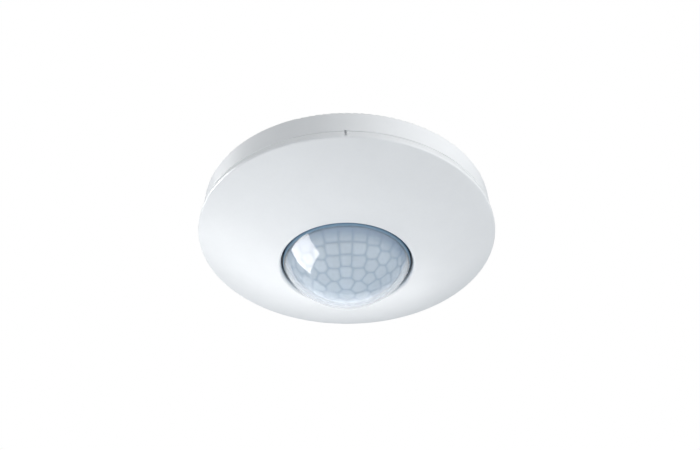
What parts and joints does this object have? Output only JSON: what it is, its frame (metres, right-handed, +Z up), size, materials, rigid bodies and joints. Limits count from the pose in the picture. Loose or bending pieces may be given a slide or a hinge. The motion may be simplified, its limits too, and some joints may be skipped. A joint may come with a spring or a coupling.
{
  "type": "ceiling motion sensor",
  "caption": "Round recessed ceiling motion sensor: domed white twist-off cover, blue-grey Fresnel lens dome, mounting base and a power cup that goes into the ceiling box.",
  "frame": {"origin": "centre of the ceiling plane, the back face of the mounting base, on the lens axis", "axes": "+Z up into the ceiling along the lens axis, lens facing -Z; +X along the two ceiling screw slots; -Y towards the alignment mark"},
  "size_m": [0.108, 0.108, 0.0592],
  "materials": {
    "white_shell": "satin, fine mould grain",
    "lens_plastic": "glossy outside, Fresnel cells inside",
    "dark_plastic": "satin",
    "inner_white": "satin",
    "screw_steel": "zinc plated",
    "board_green": "solder mask",
    "can_metal": "tinned steel",
    "sensor_window": "coated silicon",
    "solder_tin": "tinned",
    "black_epoxy": "moulded epoxy",
    "led_lens": "tinted, glossy",
    "ceramic_parts": "ceramic",
    "adjuster_blue": "satin",
    "dial_white": "satin",
    "button_red": "satin",
    "connector_black": "satin",
    "gold_pin": "plated",
    "cup_grey": "satin",
    "capacitor_film": "moulded box",
    "capacitor_sleeve": "shrink sleeve",
    "varistor_blue": "dipped epoxy",
    "fuse_body": "moulded",
    "ferrite": "sintered",
    "copper_winding": "enamelled copper",
    "terminal_grey": "satin",
    "clamp_copper": "tinned copper",
    "release_orange": "satin",
    "relay_shell": "satin",
    "relay_plastic": "satin",
    "bobbin_white": "satin",
    "yoke_iron": "plated iron",
    "contact_bronze": "spring bronze"
  },
  "bodies": {
    "base": {"mounting_base": "white_shell", "fresnel_lens": "lens_plastic", "lens_retainer": "dark_plastic", "sensor_chassis": "inner_white", "chassis_screws": "screw_steel", "sensor_board": "board_green", "board_screws": "screw_steel", "pir_can": "can_metal", "pir_window": "sensor_window", "pir_leads": "solder_tin", "light_sensor": "black_epoxy", "status_led": "led_lens", "remote_receiver": "black_epoxy", "controller_chip": "black_epoxy", "controller_legs": "solder_tin", "sensor_board_parts": "ceramic_parts", "lux_potentiometer": "adjuster_blue", "time_potentiometer": "adjuster_blue", "program_switch": "connector_black", "link_socket": "connector_black", "link_header": "connector_black", "link_pins": "gold_pin", "power_housing": "cup_grey", "power_cover": "cup_grey", "power_screws": "screw_steel", "power_board": "board_green", "suppression_capacitor": "capacitor_film", "bulk_capacitor": "capacitor_sleeve", "varistor": "varistor_blue", "fuse": "fuse_body", "bridge_rectifier": "black_epoxy", "rectifier_legs": "solder_tin", "choke": "ferrite", "choke_winding": "copper_winding", "terminal_block": "terminal_grey", "terminal_clamps": "clamp_copper", "relay_case": "relay_shell", "relay_base": "relay_plastic", "relay_bobbin": "bobbin_white", "relay_winding": "copper_winding", "relay_coil_pins": "solder_tin", "relay_yoke": "yoke_iron", "relay_fixed_contact": "contact_bronze", "relay_common_terminal": "contact_bronze"},
    "cover": {"front_cover": "white_shell"},
    "lux_dial": {"lux_dial": "dial_white"},
    "time_dial": {"time_dial": "dial_white"},
    "program_button": {"program_button": "button_red"},
    "release_1": {"release_button_1": "release_orange"},
    "release_2": {"release_button_2": "release_orange"},
    "release_3": {"release_button_3": "release_orange"},
    "release_4": {"release_button_4": "release_orange"},
    "relay_armature": {"relay_armature": "yoke_iron"},
    "relay_card": {"relay_card": "bobbin_white"},
    "relay_contact": {"relay_spring": "contact_bronze"}
  },
  "joints": [
    {"name": "cover_twist", "type": "hinge", "parent": "base", "child": "cover", "pos_m": [0, 0, -0.01], "axis": [0, 0, -1], "range_deg": [0, 18]},
    {"name": "lux_dial_turn", "type": "hinge", "parent": "base", "child": "lux_dial", "pos_m": [-0.02687, -0.01881, -0.0125], "axis": [0, 0, -1], "range_deg": [-135, 135]},
    {"name": "time_dial_turn", "type": "hinge", "parent": "base", "child": "time_dial", "pos_m": [0.02687, -0.01881, -0.0125], "axis": [0, 0, -1], "range_deg": [-135, 135]},
    {"name": "program_button_press", "type": "slide", "parent": "base", "child": "program_button", "axis": [0, 0, 1], "range_m": [0, 0.0003]},
    {"name": "release_button_1_press", "type": "slide", "parent": "base", "child": "release_1", "axis": [0, 0, -1], "range_m": [0, 0.0015], "stiffness_N_per_m": 5, "springref_m": -0.001},
    {"name": "release_button_2_press", "type": "slide", "parent": "base", "child": "release_2", "axis": [0, 0, -1], "range_m": [0, 0.0015], "stiffness_N_per_m": 5, "springref_m": -0.001},
    {"name": "release_button_3_press", "type": "slide", "parent": "base", "child": "release_3", "axis": [0, 0, -1], "range_m": [0, 0.0015], "stiffness_N_per_m": 5, "springref_m": -0.001},
    {"name": "release_button_4_press", "type": "slide", "parent": "base", "child": "release_4", "axis": [0, 0, -1], "range_m": [0, 0.0015], "stiffness_N_per_m": 5, "springref_m": -0.001},
    {"name": "relay_armature_swing", "type": "hinge", "parent": "base", "child": "relay_armature", "pos_m": [0.00535, 0.00215, 0.0048], "axis": [0, -1, 0], "range_deg": [0, 5], "stiffness_Nm_per_rad": 0.0002, "springref_deg": -5.73},
    {"name": "relay_card_slide", "type": "slide", "parent": "base", "child": "relay_card", "axis": [-1, 0, 0], "range_m": [0, 0.00093]},
    {"name": "relay_contact_swing", "type": "hinge", "parent": "base", "child": "relay_contact", "pos_m": [0.0105, 0.00215, 0.0041], "axis": [0, -1, 0], "range_deg": [0, 4.75]}
  ],
  "couplings": [
    {"joint": "relay_card_slide", "follows": "relay_armature_swing", "m_per_rad": 0.0106},
    {"joint": "relay_contact_swing", "follows": "relay_armature_swing", "ratio": 0.9381}
  ]
}
